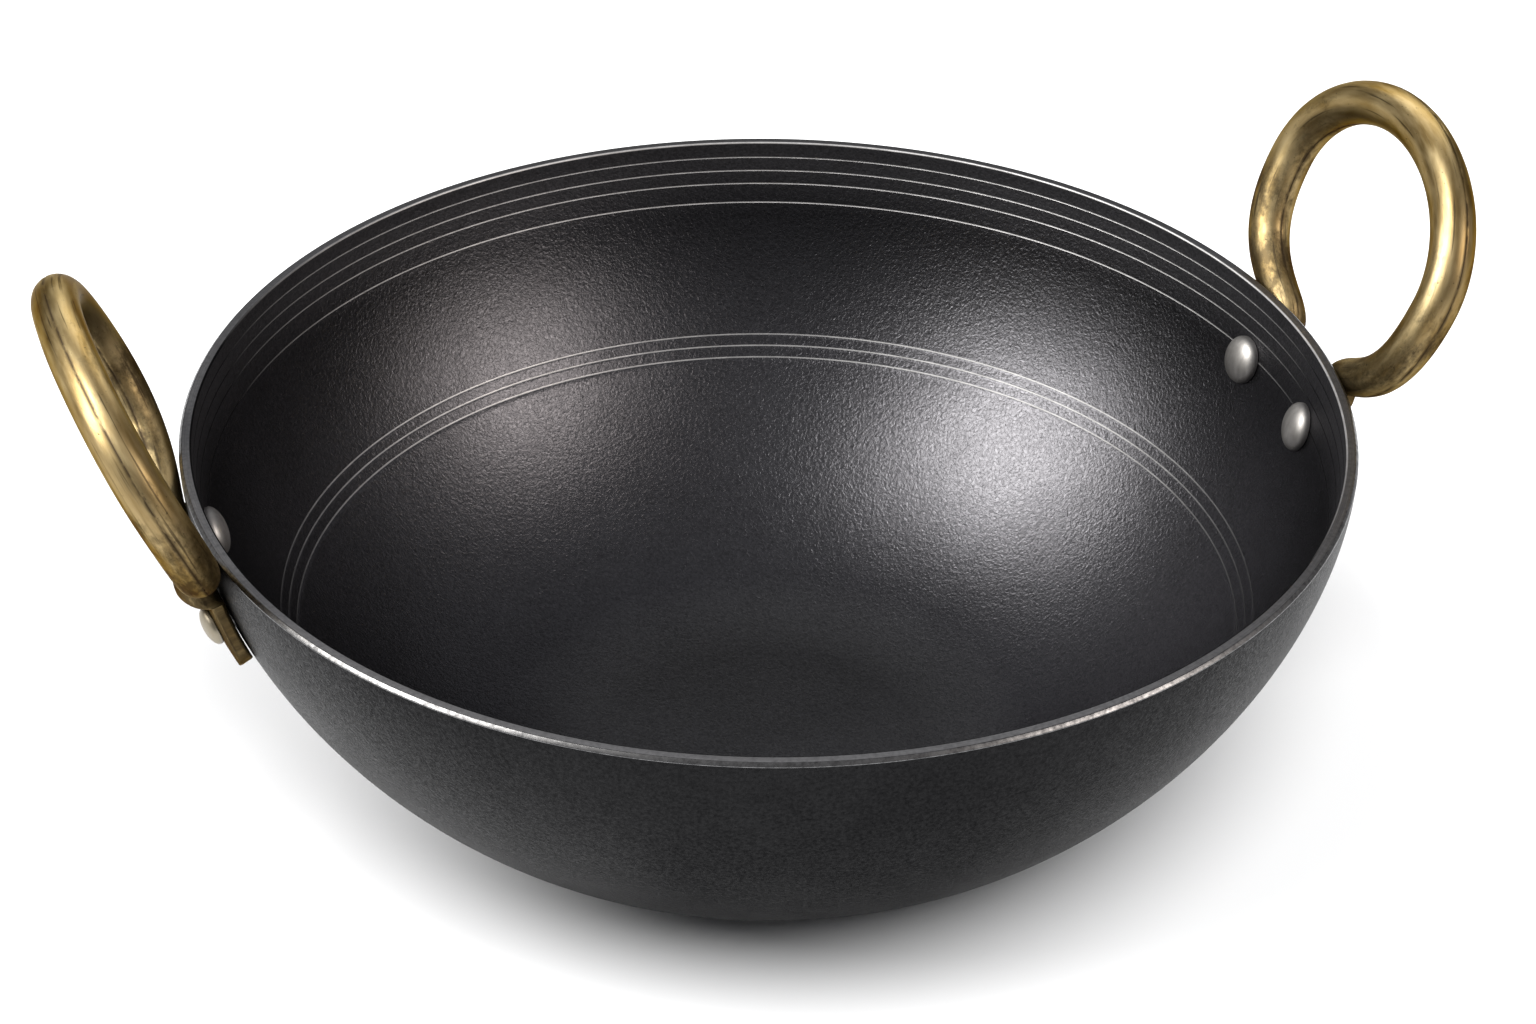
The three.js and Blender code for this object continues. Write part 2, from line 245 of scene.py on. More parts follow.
def turned(profile, sides):
    """Points and faces of a profile of (radius, height, finish) turned about +Z.

    The profile begins and ends on the axis. The finish of a point is that of the band that ends there.
    """
    points = []
    rows = []
    for index, (radius, height, _) in enumerate(profile):
        if index in (0, len(profile) - 1):
            rows.append([len(points)])
            points.append((0.0, 0.0, height))
            continue
        rows.append(list(range(len(points), len(points) + sides)))
        for i in range(sides):
            turn = 2 * math.pi * i / sides
            points.append((radius * math.cos(turn), radius * math.sin(turn), height))
    faces = []
    for index in range(1, len(profile)):
        below, above = rows[index - 1], rows[index]
        finish = profile[index][2]
        for i in range(sides):
            j = (i + 1) % sides
            if len(below) == 1:
                faces.append(((below[0], above[j], above[i]), finish))
            elif len(above) == 1:
                faces.append(((below[i], below[j], above[0]), finish))
            else:
                faces.append(((below[i], below[j], above[j], above[i]), finish))
    return points, faces


# Curves

def bezier(controls, t):
    a, b, c, d = controls
    s = 1 - t
    return a * s ** 3 + b * (3 * s * s * t) + c * (3 * s * t * t) + d * t ** 3


def bezier_tangent(controls, t):
    a, b, c, d = controls
    s = 1 - t
    return ((b - a) * (s * s) + (c - b) * (2 * s * t) + (d - c) * (t * t)).normalized()


def between(low, high, share):
    return low + (high - low) * share


def eased(share):
    """A share that starts and ends gently."""
    return share * share * (3 - 2 * share)


# The pan's side, as one curve from the rim to the edge of the flat base

RIM_POINT = Vector((RIM_RADIUS, PAN_DEPTH))
HEEL_POINT = Vector((BASE_RADIUS, 0))
SIDE = (
    RIM_POINT,
    RIM_POINT + Vector((-math.sin(RIM_LEAN), -math.cos(RIM_LEAN))) * SIDE_PULL,
    HEEL_POINT + Vector((HEEL_PULL, 0)),
    HEEL_POINT,
)


def side_point(t, inset=0.0):
    tangent = bezier_tangent(SIDE, t)
    return bezier(SIDE, t) + Vector((tangent.y, -tangent.x)) * inset


def parameter_at_depth(depth, inset=0.0):
    low, high = 0.0, 1.0
    for _ in range(BISECTIONS):
        middle = (low + high) / 2
        if PAN_DEPTH - side_point(middle, inset).y < depth:
            low = middle
        else:
            high = middle
    return (low + high) / 2


def wall_at_depth(depth, inset=0.0):
    """A point of the side and its slope from upright."""
    t = parameter_at_depth(depth, inset)
    tangent = bezier_tangent(SIDE, t)
    return side_point(t, inset), math.atan2(-tangent.x, -tangent.y)


# Finishes of the pan's bands, in the order of its materials, and that of a piece with one material
OUTSIDE, GROUND, BRIGHT, SEASONED, SCRIBED = range(5)
ONLY = 0

CHAMFER_START = parameter_at_depth(RIM_CHAMFER + EDGE_ROUND)


def inside_point(depth, finish, cut=0.0):
    """A profile point of the inside, or of a cut into it."""
    place = wall_at_depth(depth, WALL - cut)[0]
    return (place.x, place.y, finish)


def rounded_corner(places, finishes, size=EDGE_ROUND, steps=CORNER_STEPS):
    """Profile points of a corner broken to a small arc, from the places before, at and after it.

    The finishes are those of the band that leads to the arc and of the arc.
    """
    before, corner, after = places
    finish, arc_finish = finishes
    start = corner + (before - corner).normalized() * size
    end = corner + (after - corner).normalized() * size
    points = [(start.x, start.y, finish)]
    for i in range(1, steps + 1):
        t = i / steps
        place = start * (1 - t) ** 2 + corner * (2 * t * (1 - t)) + end * t * t
        points.append((place.x, place.y, arc_finish))
    return points


def outside_profile():
    """From the middle of the base up to the chamfer of the rim."""
    profile = [(0.0, 0.0, OUTSIDE)]
    for i in range(SIDE_STEPS):
        place = side_point(between(1, CHAMFER_START, i / SIDE_STEPS))
        profile.append((place.x, place.y, OUTSIDE))
    return profile


def rim_profile():
    """Over the chamfer and the land of the rim, and round its inner edge."""
    outside = side_point(CHAMFER_START)
    chamfer_low = wall_at_depth(RIM_CHAMFER)[0]
    chamfer_high = Vector((RIM_RADIUS - RIM_CHAMFER, PAN_DEPTH))
    land_edge = Vector((wall_at_depth(0, WALL)[0].x, PAN_DEPTH))
    inside = wall_at_depth(INSIDE_START, WALL)[0]
    return [
        *rounded_corner((outside, chamfer_low, chamfer_high), (OUTSIDE, BRIGHT)),
        *rounded_corner((chamfer_low, chamfer_high, land_edge), (BRIGHT, BRIGHT)),
        *rounded_corner(
            (chamfer_high, land_edge, inside), (GROUND, SCRIBED),
            INNER_EDGE_ROUND, INNER_CORNER_STEPS,
        ),
    ]


def inside_profile():
    """From the rim's inner edge down over the rings to the middle of the floor."""
    profile = []
    depth = INSIDE_START
    for ring in RING_DEPTHS:
        top, foot = ring - RING_WIDTH / 2, ring + RING_WIDTH / 2
        bands = max(LEAST_BANDS, round((top - depth) / INSIDE_STEP))
        for i in range(1, bands + 1):
            profile.append(inside_point(between(depth, top, i / bands), SEASONED))
        profile.append(inside_point(top + RING_FLANK, SEASONED, RING_CUT))
        profile.append(inside_point(foot - RING_FLANK, SCRIBED, RING_CUT))
        profile.append(inside_point(foot, SCRIBED))
        depth = foot
    last = parameter_at_depth(depth, WALL)
    for i in range(1, SIDE_STEPS + 1):
        place = side_point(between(last, 1, i / SIDE_STEPS), WALL)
        profile.append((place.x, place.y, SEASONED))
    profile.append((0.0, WALL, SEASONED))
    return profile


# Places on the outside of the wall

RIVET_WALL, RIVET_SLOPE = wall_at_depth(RIVET_DEPTH)
UPRIGHT = Vector((0, 0, 1))


def wall_place(across, depth):
    """A point on the wall at the right handle, with the directions out, up the wall and across."""
    point, slope = wall_at_depth(depth)
    turn = across / RIVET_WALL.x
    radial = Vector((math.cos(turn), math.sin(turn), 0))
    return (
        radial * point.x + UPRIGHT * point.y,
        radial * math.cos(slope) - UPRIGHT * math.sin(slope),
        radial * math.sin(slope) + UPRIGHT * math.cos(slope),
        Vector((-math.sin(turn), math.cos(turn), 0)),
    )


def lug_place(rise):
    """A point of a lug by its rise above the rivet, with the directions out, along and across it."""
    depth = RIVET_DEPTH - rise * math.cos(LUG_SPLAY) * math.cos(RIVET_SLOPE)
    across_line = RIVET_SPACING / 2 - rise * math.sin(LUG_SPLAY)
    point, out, up, across = wall_place(across_line, depth)
    along = up * math.cos(LUG_SPLAY) - across * math.sin(LUG_SPLAY)
    broad = across * math.cos(LUG_SPLAY) + up * math.sin(LUG_SPLAY)
    return point, out, along, broad


# A section of a handle: its middle, its broad and thick directions with their half sizes, the power
# that squares its outline, and how much of it is bar rather than lug
Section = namedtuple("Section", "middle broad thick half_width half_thick squareness bar_share")


def lug_section(rise, half_width, thickness, squareness, bar_share):
    point, out, _, broad = lug_place(rise)
    half = thickness / 2
    middle = point + out * (SEAT_GAP + half)
    return Section(middle, broad, out, half_width, half, squareness, bar_share)


def lug_sections():
    """Sections of the rounded end, the straight stretch and the shoulder of a lug."""
    sections = []
    end_radius = LUG_WIDTH / 2
    for i in range(LUG_STEPS):
        angle = math.pi / 2 * ((i + LUG_END_START) / LUG_STEPS)
        from_end = end_radius * (1 - math.cos(angle))
        short = max(0.0, LUG_END_ROUND - from_end) / LUG_END_ROUND
        thinner = LUG_END_ROUND * (1 - math.sqrt(1 - short * short))
        sections.append(lug_section(
            from_end - LUG_TAIL, end_radius * math.sin(angle), LUG_THICKNESS - thinner,
            LUG_SQUARENESS, 0.0,
        ))
    for i in range(LUG_STEPS):
        rise = between(end_radius - LUG_TAIL, SHOULDER_RISE, i / LUG_STEPS)
        sections.append(lug_section(rise, end_radius, LUG_THICKNESS, LUG_SQUARENESS, 0.0))
    for i in range(SHOULDER_STEPS + 1):
        angle = math.pi / 2 * (i / SHOULDER_STEPS)
        swell = math.sin(angle)
        sections.append(lug_section(
            SHOULDER_RISE + SHOULDER_LENGTH * (1 - math.cos(angle)),
            between(end_radius, FOOT_RADIUS, swell),
            between(LUG_THICKNESS, 2 * FOOT_RADIUS, swell),
            between(LUG_SQUARENESS, ROUND, swell),
            swell * i / SHOULDER_STEPS,
        ))
    return sections


def bar_section(curve, t, plane_normal, radius):
    tangent = bezier_tangent(curve, t)
    thick = (plane_normal - tangent * plane_normal.dot(tangent)).normalized()
    return Section(bezier(curve, t), tangent.cross(thick), thick, radius, radius, ROUND, 1.0)


def leg_sections():
    """Sections of half a loop, from its foot to the top of its crown."""
    plane_up = Vector((math.sin(LOOP_TILT), 0, math.cos(LOOP_TILT)))
    plane_normal = Vector((math.cos(LOOP_TILT), 0, -math.sin(LOOP_TILT)))
    foot, out, along, _ = lug_place(SHOULDER_RISE + SHOULDER_LENGTH)
    start = foot + out * (SEAT_GAP + FOOT_RADIUS)
    widest = Vector((RIM_RADIUS + LOOP_REACH, LOOP_HALF_WIDTH, PAN_DEPTH + LOOP_WIDEST_HEIGHT))
    top = Vector((widest.x, 0, widest.z)) + plane_up * LOOP_CROWN
    leg = (start, start + along * FOOT_PULL, widest - plane_up * LEG_PULL, widest)
    crown = (
        widest,
        widest + plane_up * (LOOP_CROWN * CROWN_ROUNDNESS),
        top + Vector((0, LOOP_HALF_WIDTH * CROWN_ROUNDNESS, 0)),
        top,
    )
    shares = [i / BAR_STEPS for i in range(1, BAR_STEPS + 1)]
    sections = []
    for t in shares:
        radius = between(FOOT_RADIUS, BAR_RADIUS, eased(t))
        sections.append(bar_section(leg, t, plane_normal, radius))
    for t in shares:
        sections.append(bar_section(crown, t, plane_normal, BAR_RADIUS))
    return sections


def mirrored(section):
    flip = Matrix.Diagonal((1, -1, 1))
    return section._replace(
        middle=flip @ section.middle, broad=flip @ section.broad, thick=flip @ section.thick)


def section_angles():
    """Angles round the bar, closer together at the two parting lines."""
    half = [math.radians(angle) for angle in (*SEAM_ANGLES, *BAR_ANGLES)]
    return half + [angle + math.pi for angle in half]


def section_point(section, angle, run, seed):
    """A point of a section, its coordinates along and across the bar, and its share of the seam."""
    c, s = math.cos(angle), math.sin(angle)
    from_seam = BAR_RADIUS * math.asin(min(1.0, abs(s)))
    groove = SEAM_CUT * max(0.0, 1 - from_seam / SEAM_GROOVE)
    around = Vector((run * HOLLOW_ALONG, HOLLOW_ROUND * c + seed, HOLLOW_ROUND * s))
    hollow = max(0.0, HOLLOW_MEAN - HOLLOW_SWING * noise.noise(around))
    power = 2 / section.squareness
    wide = section.half_width * math.copysign(abs(c) ** power, c)
    deep = section.half_thick * math.copysign(abs(s) ** power, s)
    offset = section.broad * wide + section.thick * deep
    shrink = section.bar_share * (groove + hollow) / BAR_RADIUS
    bar_space = (run * MM, section.half_width * c * MM + seed, section.half_thick * s * MM)
    seam = section.bar_share * max(0.0, 1 - from_seam / SEAM_SPREAD)
    return section.middle + offset * (1 - shrink), bar_space, seam


def loft_faces(rows, count):
    """Faces between rows of points, each with the same count, and the two that close the ends."""
    faces = []
    for row in range(rows - 1):
        for i in range(count):
            a = row * count + i
            b = row * count + (i + 1) % count
            faces.append(((a, a + count, b + count, b), ONLY))
    faces.append((tuple(range(count)), ONLY))
    faces.append((tuple(reversed(range((rows - 1) * count, rows * count))), ONLY))
    return faces


def handle_mesh(seed):
    """Points, faces, bar coordinates and seam shares of a handle at the +X end."""
    half = lug_sections() + leg_sections()
    sections = half + [mirrored(section) for section in reversed(half[:-1])]
    angles = section_angles()
    points, space, seams = [], [], []
    run = 0.0
    for index, section in enumerate(sections):
        if index:
            run += (section.middle - sections[index - 1].middle).length
        for angle in angles:
            point, bar_space, seam = section_point(section, angle, run, seed)
            points.append(point)
            space += bar_space
            seams.append(seam)
    return points, loft_faces(len(sections), len(angles)), space, seams


# Rivets: along +Z here, from the inner head to the outer one, with z = 0 on the outer wall

INNER_HOLLOW = INNER_HEAD_RADIUS ** 2 / (2 * (RIVET_WALL.x - WALL))  # of the wall under a head
INNER_SEAT = -WALL - INNER_HOLLOW - HEAD_GAP
OUTER_SEAT = SEAT_GAP + LUG_THICKNESS + HEAD_GAP


def dome(radius, height, seat, direction):
    points = [(radius - HEAD_CORNER, seat, ONLY), (radius, seat + direction * HEAD_CORNER_RISE, ONLY)]
    for i in range(DOME_STEPS + 1):
        angle = math.pi / 2 * (i / DOME_STEPS)
        rise = HEAD_EDGE + (height - HEAD_EDGE) * math.sin(angle)
        points.append((radius * math.cos(angle), seat + direction * rise, ONLY))
    return points


def rivet_profile():
    inner = dome(INNER_HEAD_RADIUS, INNER_HEAD_HEIGHT, INNER_SEAT, -1)
    outer = dome(OUTER_HEAD_RADIUS, OUTER_HEAD_HEIGHT, OUTER_SEAT, 1)
    shank = [(SHANK_RADIUS, INNER_SEAT, ONLY), (SHANK_RADIUS, OUTER_SEAT, ONLY)]
    return inner[::-1] + shank + outer


def rivet_matrix(foot, end):
    """From the rivet's own frame to its place, at the +Y or -Y foot of the handle at an end."""
    point, out, _, _ = wall_place(foot * RIVET_SPACING / 2, RIVET_DEPTH)
    turn = UPRIGHT.rotation_difference(out).to_matrix().to_4x4()
    half_turn = Matrix.Rotation(0 if end > 0 else math.pi, 4, "Z")
    return half_turn @ Matrix.Translation(point) @ turn


def hole_cutter(foot, end):
    length = WALL + LUG_THICKNESS + HOLE_MARGIN
    radius = SHANK_RADIUS + SHANK_CLEARANCE
    outline = ((0, -length), (radius, -length), (radius, length), (0, length))
    points, faces = turned([(x, z, ONLY) for x, z in outline], RIVET_SIDES)
    place = rivet_matrix(foot, end)
    return make_piece("hole", [place @ Vector(p) for p in points], faces, [])


# Material helpers

MIX_SHARE, MIX_A, MIX_B, MIX_COLOUR = 0, 6, 7, 2  # the Mix node's sockets for colours


def start_material(name):
    material = bpy.data.materials.new(name)
    material.use_nodes = True
    return material, material.node_tree, material.node_tree.nodes["Principled BSDF"]


def set_inputs(tree, node, inputs):
    """Sets a node's inputs, each to a value or to another node's output."""
    for name, value in inputs.items():
        if isinstance(value, bpy.types.NodeSocket):
            tree.links.new(value, node.inputs[name])
        else:
            node.inputs[name].default_value = value


def add_node(tree, kind, inputs=None, **settings):
    made = tree.nodes.new(kind)
    for name, value in settings.items():
        setattr(made, name, value)
    set_inputs(tree, made, inputs or {})
    return made


def object_space(tree):
    return add_node(tree, "ShaderNodeTexCoord").outputs["Object"]


def axis_value(tree, vector, axis):
    return add_node(tree, "ShaderNodeSeparateXYZ", {0: vector}).outputs[axis]


def combine(tree, operation, *values):
    return add_node(tree, "ShaderNodeMath", dict(enumerate(values)), operation=operation).outputs[0]


def plus(tree, a, b):
    return combine(tree, "ADD", a, b)


def times(tree, a, b):
    return combine(tree, "MULTIPLY", a, b)


def weighted(tree, a, share_a, b, share_b):
    return plus(tree, times(tree, a, share_a), times(tree, b, share_b))


def axis_distance(tree, vector):
    """Distance from the pan's axis."""
    x, y = axis_value(tree, vector, "X"), axis_value(tree, vector, "Y")
    return combine(tree, "SQRT", plus(tree, times(tree, x, x), times(tree, y, y)))


def towards(tree, vector, direction):
    """Distance from the pan's axis in a direction."""
    return add_node(
        tree, "ShaderNodeVectorMath", {0: vector, 1: direction}, operation="DOT_PRODUCT",
    ).outputs["Value"]


def stretched(tree, vector, scale):
    return add_node(tree, "ShaderNodeMapping", {"Vector": vector, "Scale": scale}).outputs["Vector"]


def noise_value(tree, vector, scale, detail=2.0, roughness=0.5, distortion=0.0):
    return add_node(tree, "ShaderNodeTexNoise", {
        "Vector": vector, "Scale": scale, "Detail": detail, "Roughness": roughness,
        "Distortion": distortion,
    }).outputs["Fac"]


def remap(tree, value, span, to=(0.0, 1.0), **settings):
    """A value spread from a span to another, and held at its ends."""
    return add_node(tree, "ShaderNodeMapRange", {
        "Value": value, "From Min": span[0], "From Max": span[1], "To Min": to[0], "To Max": to[1],
    }, **settings).outputs["Result"]


def mix_colour(tree, share, a, b):
    inputs = {MIX_SHARE: share, MIX_A: a, MIX_B: b}
    made = add_node(tree, "ShaderNodeMix", inputs, data_type="RGBA", clamp_factor=True)
    return made.outputs[MIX_COLOUR]


def bump(tree, height, strength, distance):
    inputs = {"Height": height, "Strength": strength, "Distance": distance}
    return add_node(tree, "ShaderNodeBump", inputs).outputs["Normal"]


# Materials

def seasoned_iron():
    """The inside: black and grained, with painted shade in a band below the rim, dry under the rim, and
    paler on its floor from wear and painted light.
    """
    material, tree, shader = start_material("seasoned_iron")
    space = object_space(tree)
    height = axis_value(tree, space, "Z")
    mottle = noise_value(tree, space, scale=22, detail=4, roughness=0.6)
    grain = noise_value(tree, space, scale=1150, detail=3, roughness=0.62, distortion=0.7)
    pores = noise_value(tree, space, scale=720, detail=2, roughness=0.5, distortion=0.3)
    shade = weighted(tree, remap(tree, mottle, WIDE), 0.4, remap(tree, grain, NARROW), 0.6)
    # painted shade: a darker band of the inside below the rim
    shade_band = times(tree, remap(tree, height, SHADE_BAND_BEGINS, to=(0.0, 0.30)),
                  remap(tree, height, SHADE_BAND_ENDS, to=(1.0, 0.0)))
    dry = remap(tree, height, DRY_IRON, to=(0.0, 0.24))
    # paler towards the floor: wear, and painted light that lifts the flat floor's shade
    floor_wear_and_lift = remap(tree, height, FLOOR_WEAR_AND_LIFT, to=(0.9, 0.0))
    dark = mix_colour(tree, shade_band, mix_colour(tree, shade, *BLACK_IRON), BAND_SHADE_IRON)
    matt = plus(tree, dry, times(tree, floor_wear_and_lift, 0.14))
    relief = plus(tree, grain, times(tree, pores, 0.4))
    set_inputs(tree, shader, {
        "Base Color": mix_colour(tree, floor_wear_and_lift, dark, mix_colour(tree, shade, *WORN_LIFTED_IRON)),
        "Roughness": plus(tree, remap(tree, mottle, WIDE, to=(0.33, 0.29)), matt),
        "Metallic": 1.0,
        "Specular Tint": IRON_EDGE,
        "Normal": bump(tree, relief, strength=0.65, distance=0.00022),
    })
    return material


def outside_iron():
    """The outside: black from the fire, with a grained edge reflection whose painted sheen is weaker in
    front.
    """
    material, tree, shader = start_material("outside_iron")
    space = object_space(tree)
    mottle = noise_value(tree, space, scale=30, detail=4, roughness=0.6)
    grain = noise_value(tree, space, scale=1000, detail=3, roughness=0.6, distortion=0.6)
    fine = noise_value(tree, space, scale=1050, detail=3, roughness=0.7)
    shade = weighted(tree, remap(tree, mottle, WIDE), 0.35, remap(tree, fine, NARROW), 0.65)
    side = combine(tree, "ABSOLUTE", plus(tree, axis_value(tree, space, "X"), -DARK_MIDDLE))
    # painted sheen: the edge reflection is weaker in front and behind, stronger and more grained beside
    # the handles
    pits = remap(tree, side, BESIDE, to=(0.88, 0.76))
    peaks = remap(tree, side, BESIDE, to=(1.10, 1.18))
    painted_side_sheen = remap(tree, side, BESIDE, to=(0.52, 1.0))
    set_inputs(tree, shader, {
        "Base Color": mix_colour(tree, shade, *FIRED_IRON),
        "Roughness": remap(tree, mottle, WIDE, to=(0.50, 0.44)),
        "Metallic": 1.0,
        "Specular Tint": times(tree, painted_side_sheen, remap(tree, fine, NARROW, to=(pits, peaks))),
        "Normal": bump(tree, grain, strength=0.9, distance=0.00036),
    })
    return material


def radius_space(tree, stretch=90.0):
    """Coordinates that run fast across the turned rim and slowly round it."""
    space = object_space(tree)
    return add_node(tree, "ShaderNodeCombineXYZ", {
        "X": times(tree, axis_distance(tree, space), stretch),
        "Y": axis_value(tree, space, "X"),
        "Z": axis_value(tree, space, "Y"),
    }).outputs["Vector"]


def ground_iron():
    """The land of the rim: ground in fine lines, with painted shade at the back and the right."""
    material, tree, shader = start_material("ground_iron")
    space = object_space(tree)
    lines = noise_value(tree, radius_space(tree), scale=45, detail=3, roughness=0.7)
    speck = noise_value(tree, space, scale=900)
    share = times(tree, remap(tree, lines, WIDE), remap(tree, speck, span=(0.25, 0.6)))
    # painted shade: the land is darker towards the back and the right
    land_shade = combine(tree, "MAXIMUM",
                     remap(tree, towards(tree, space, BACK), LAND_SHADE_BACK, to=(0.0, 0.62)),
                     remap(tree, towards(tree, space, RIGHT), LAND_SHADE_RIGHT, to=(0.0, 0.55)))
    set_inputs(tree, shader, {
        "Base Color": mix_colour(tree, land_shade, mix_colour(tree, share, *GROUND_IRON), LAND_SHADE_IRON),
        "Roughness": remap(tree, lines, WIDE, to=(0.52, 0.36)),
        "Metallic": 1.0,
        "Normal": bump(tree, lines, strength=0.35, distance=0.0001),
    })
    return material


def bright_iron():
    """The chamfer of the rim, where handling has rubbed the black off."""
    material, tree, shader = start_material("bright_iron")
    speck = noise_value(tree, object_space(tree), scale=700, detail=3, roughness=0.65)
    share = remap(tree, speck, span=(0.32, 0.62))
    set_inputs(tree, shader, {
        "Base Color": mix_colour(tree, share, *BRIGHT_IRON),
        "Roughness": remap(tree, speck, WIDE, to=(0.38, 0.28)),
        "Metallic": 1.0,
    })
    return material


def scribed_iron():
    """The rings and the rim's inner edge: a painted highlight towards the back, on the edge also
    towards the right.
    """
    material, tree, shader = start_material("scribed_iron")
    space = object_space(tree)
    height = axis_value(tree, space, "Z")
    right = towards(tree, space, RIGHT)
    speck = noise_value(tree, space, scale=160, detail=3, roughness=0.65)
    # painted highlight: rings and edge paler towards the back, the edge also towards the right, the
    # lower rings dimmer towards the right
    edge_shift = times(tree, remap(tree, height, INNER_EDGE),
                       remap(tree, right, LIT_RIGHT, to=(0.0, 0.12)))
    low_shift = remap(tree, height, BETWEEN_RINGS, to=(0.06, 0.0))
    lit_reach = plus(tree, plus(tree, towards(tree, space, BACK), edge_shift), low_shift)
    bare_and_lit = times(tree, remap(tree, speck, span=(0.3, 0.65), to=(0.7, 1.0)),
                 remap(tree, lit_reach, LIT_BACK))
    low_rings_lit = remap(tree, right, LOW_RINGS_LIT_FADE, to=(0.64, 0.26))
    at_height = plus(tree, remap(tree, height, BETWEEN_RINGS, to=(low_rings_lit, 1.0)),
                     remap(tree, height, INNER_EDGE, to=(0.0, -0.12)))
    set_inputs(tree, shader, {
        "Base Color": mix_colour(tree, times(tree, bare_and_lit, at_height), *RING_IRON),
        "Roughness": remap(tree, height, BETWEEN_RINGS, to=(0.45, 0.56)),
        "Metallic": 1.0,
    })
    return material


def bar_noise(tree, lengthwise, **figures):
    """Noise on a handle, drawn out along its bar."""
    along = add_node(tree, "ShaderNodeAttribute", attribute_name="bar_space").outputs["Vector"]
    return noise_value(tree, stretched(tree, along, (lengthwise, 1, 1)), **figures)


def aged_brass():
    """The handles: golden streaks under dark patina, with more patina and painted shade towards the
    pan, hairlines, pits and a broken mould seam.
    """
    material, tree, shader = start_material("aged_brass")
    height = axis_value(tree, object_space(tree), "Z")
    streaks = bar_noise(tree, 0.22, scale=260, detail=4, roughness=0.6)
    blotches = bar_noise(tree, 0.5, scale=95, detail=5, roughness=0.65)
    soot = bar_noise(tree, 0.6, scale=800, detail=3, roughness=0.7)
    hairs = bar_noise(tree, 0.04, scale=1000, detail=2, roughness=0.5)
    pits = bar_noise(tree, 1, scale=900, detail=2, roughness=0.5)
    breaks = bar_noise(tree, 0.35, scale=420, detail=3, roughness=0.65)
    seam = add_node(tree, "ShaderNodeAttribute", attribute_name="seam").outputs["Fac"]

    # patina, and painted shade, grow lower on the handles near the pan
    patina_and_shade_near_pan = remap(tree, height, NEAR_PAN, to=(-0.09, 0.075))
    patina_and_shade_field = plus(tree, weighted(tree, blotches, 0.75, soot, 0.25), patina_and_shade_near_pan)
    patina_and_shade_share = remap(tree, patina_and_shade_field, span=(0.48, 0.62))
    hair_share = remap(tree, hairs, span=(0.63, 0.69))
    seam_share = times(tree, seam, remap(tree, breaks, span=(0.34, 0.5)))
    pit_share = times(tree, remap(tree, pits, span=(0.70, 0.76)), 0.8)
    line_share = combine(tree, "MAXIMUM", seam_share, times(tree, hair_share, 0.7))

    golden = mix_colour(tree, remap(tree, streaks, NARROW), *GOLDEN_BRASS)
    patina_and_shade_colour = mix_colour(tree, times(tree, patina_and_shade_share, 0.8), golden, BRASS_PATINA_AND_SHADE)
    lined = mix_colour(tree, line_share, patina_and_shade_colour, BRASS_LINES)
    matt = weighted(tree, patina_and_shade_share, 0.14, seam_share, 0.15)
    relief = combine(tree, "SUBTRACT", streaks, pit_share)
    set_inputs(tree, shader, {
        "Base Color": mix_colour(tree, pit_share, lined, BRASS_PITS),
        "Roughness": plus(tree, remap(tree, streaks, WIDE, to=(0.36, 0.46)), matt),
        "Metallic": 1.0,
        "Specular Tint": BRASS_EDGE,
        "Normal": bump(tree, relief, strength=0.18, distance=0.0003),
    })
    return material


def rivet_steel():
    """The rivets: smeared satin steel, browner on the outer heads."""
    material, tree, shader = start_material("rivet_steel")
    space = object_space(tree)
    smear = noise_value(tree, stretched(tree, space, (1, 1, 0.35)), scale=420, detail=4, roughness=0.65)
    patch = noise_value(tree, space, scale=150)
    steel = mix_colour(tree, remap(tree, smear, WIDE), *SATIN_STEEL)
    outer = remap(tree, axis_distance(tree, space), OUTER_HEADS, to=(0.0, 0.8))
    relief = plus(tree, patch, times(tree, smear, 0.35))
    set_inputs(tree, shader, {
        "Base Color": mix_colour(tree, outer, steel, BRASSY_STEEL),
        "Roughness": remap(tree, patch, WIDE, to=(0.54, 0.46)),
        "Metallic": 1.0,
        "Normal": bump(tree, relief, strength=0.2, distance=0.0002),
    })
    return material


def pale_floor():
    material, tree, shader = start_material("pale_floor")
    faint = noise_value(tree, object_space(tree), scale=3)
    set_inputs(tree, shader, {
        "Base Color": mix_colour(tree, faint, *PALE_FLOOR),
        "Roughness": 0.9,
        "Specular IOR Level": 0.1,
    })
    return material


# Pieces

IRON = [outside_iron(), ground_iron(), bright_iron(), seasoned_iron(), scribed_iron()]
BRASS = aged_brass()
STEEL = rivet_steel()
ENDS = {"right": 1, "left": -1}
FEET = (1, -1)


def make_pan():
    profile = outside_profile() + rim_profile() + inside_profile()
    points, faces = turned(profile, PAN_SIDES)
    bowl = make_piece("bowl", points, faces, IRON)
    drill(bowl, [hole_cutter(foot, end) for end in ENDS.values() for foot in FEET])
    smooth_by_angle(bowl, PAN_SHARP_ANGLE)
    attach(bowl, "root")
    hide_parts("pan")


def make_handle(name, end):
    points, faces, space, seams = handle_mesh(HANDLE_SEEDS[name])
    if end < 0:
        points = [Vector((-p.x, -p.y, p.z)) for p in points]
    loop = make_piece(f"loop_{name}", points, faces, [BRASS])
    add_point_values(loop, "bar_space", "FLOAT_VECTOR", space)
    add_point_values(loop, "seam", "FLOAT", seams)
    drill(loop, [hole_cutter(foot, end) for foot in FEET])
    smooth_by_angle(loop, SHARP_ANGLE)
    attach(loop, "root")
    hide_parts(f"handle_{name}")
    return loop


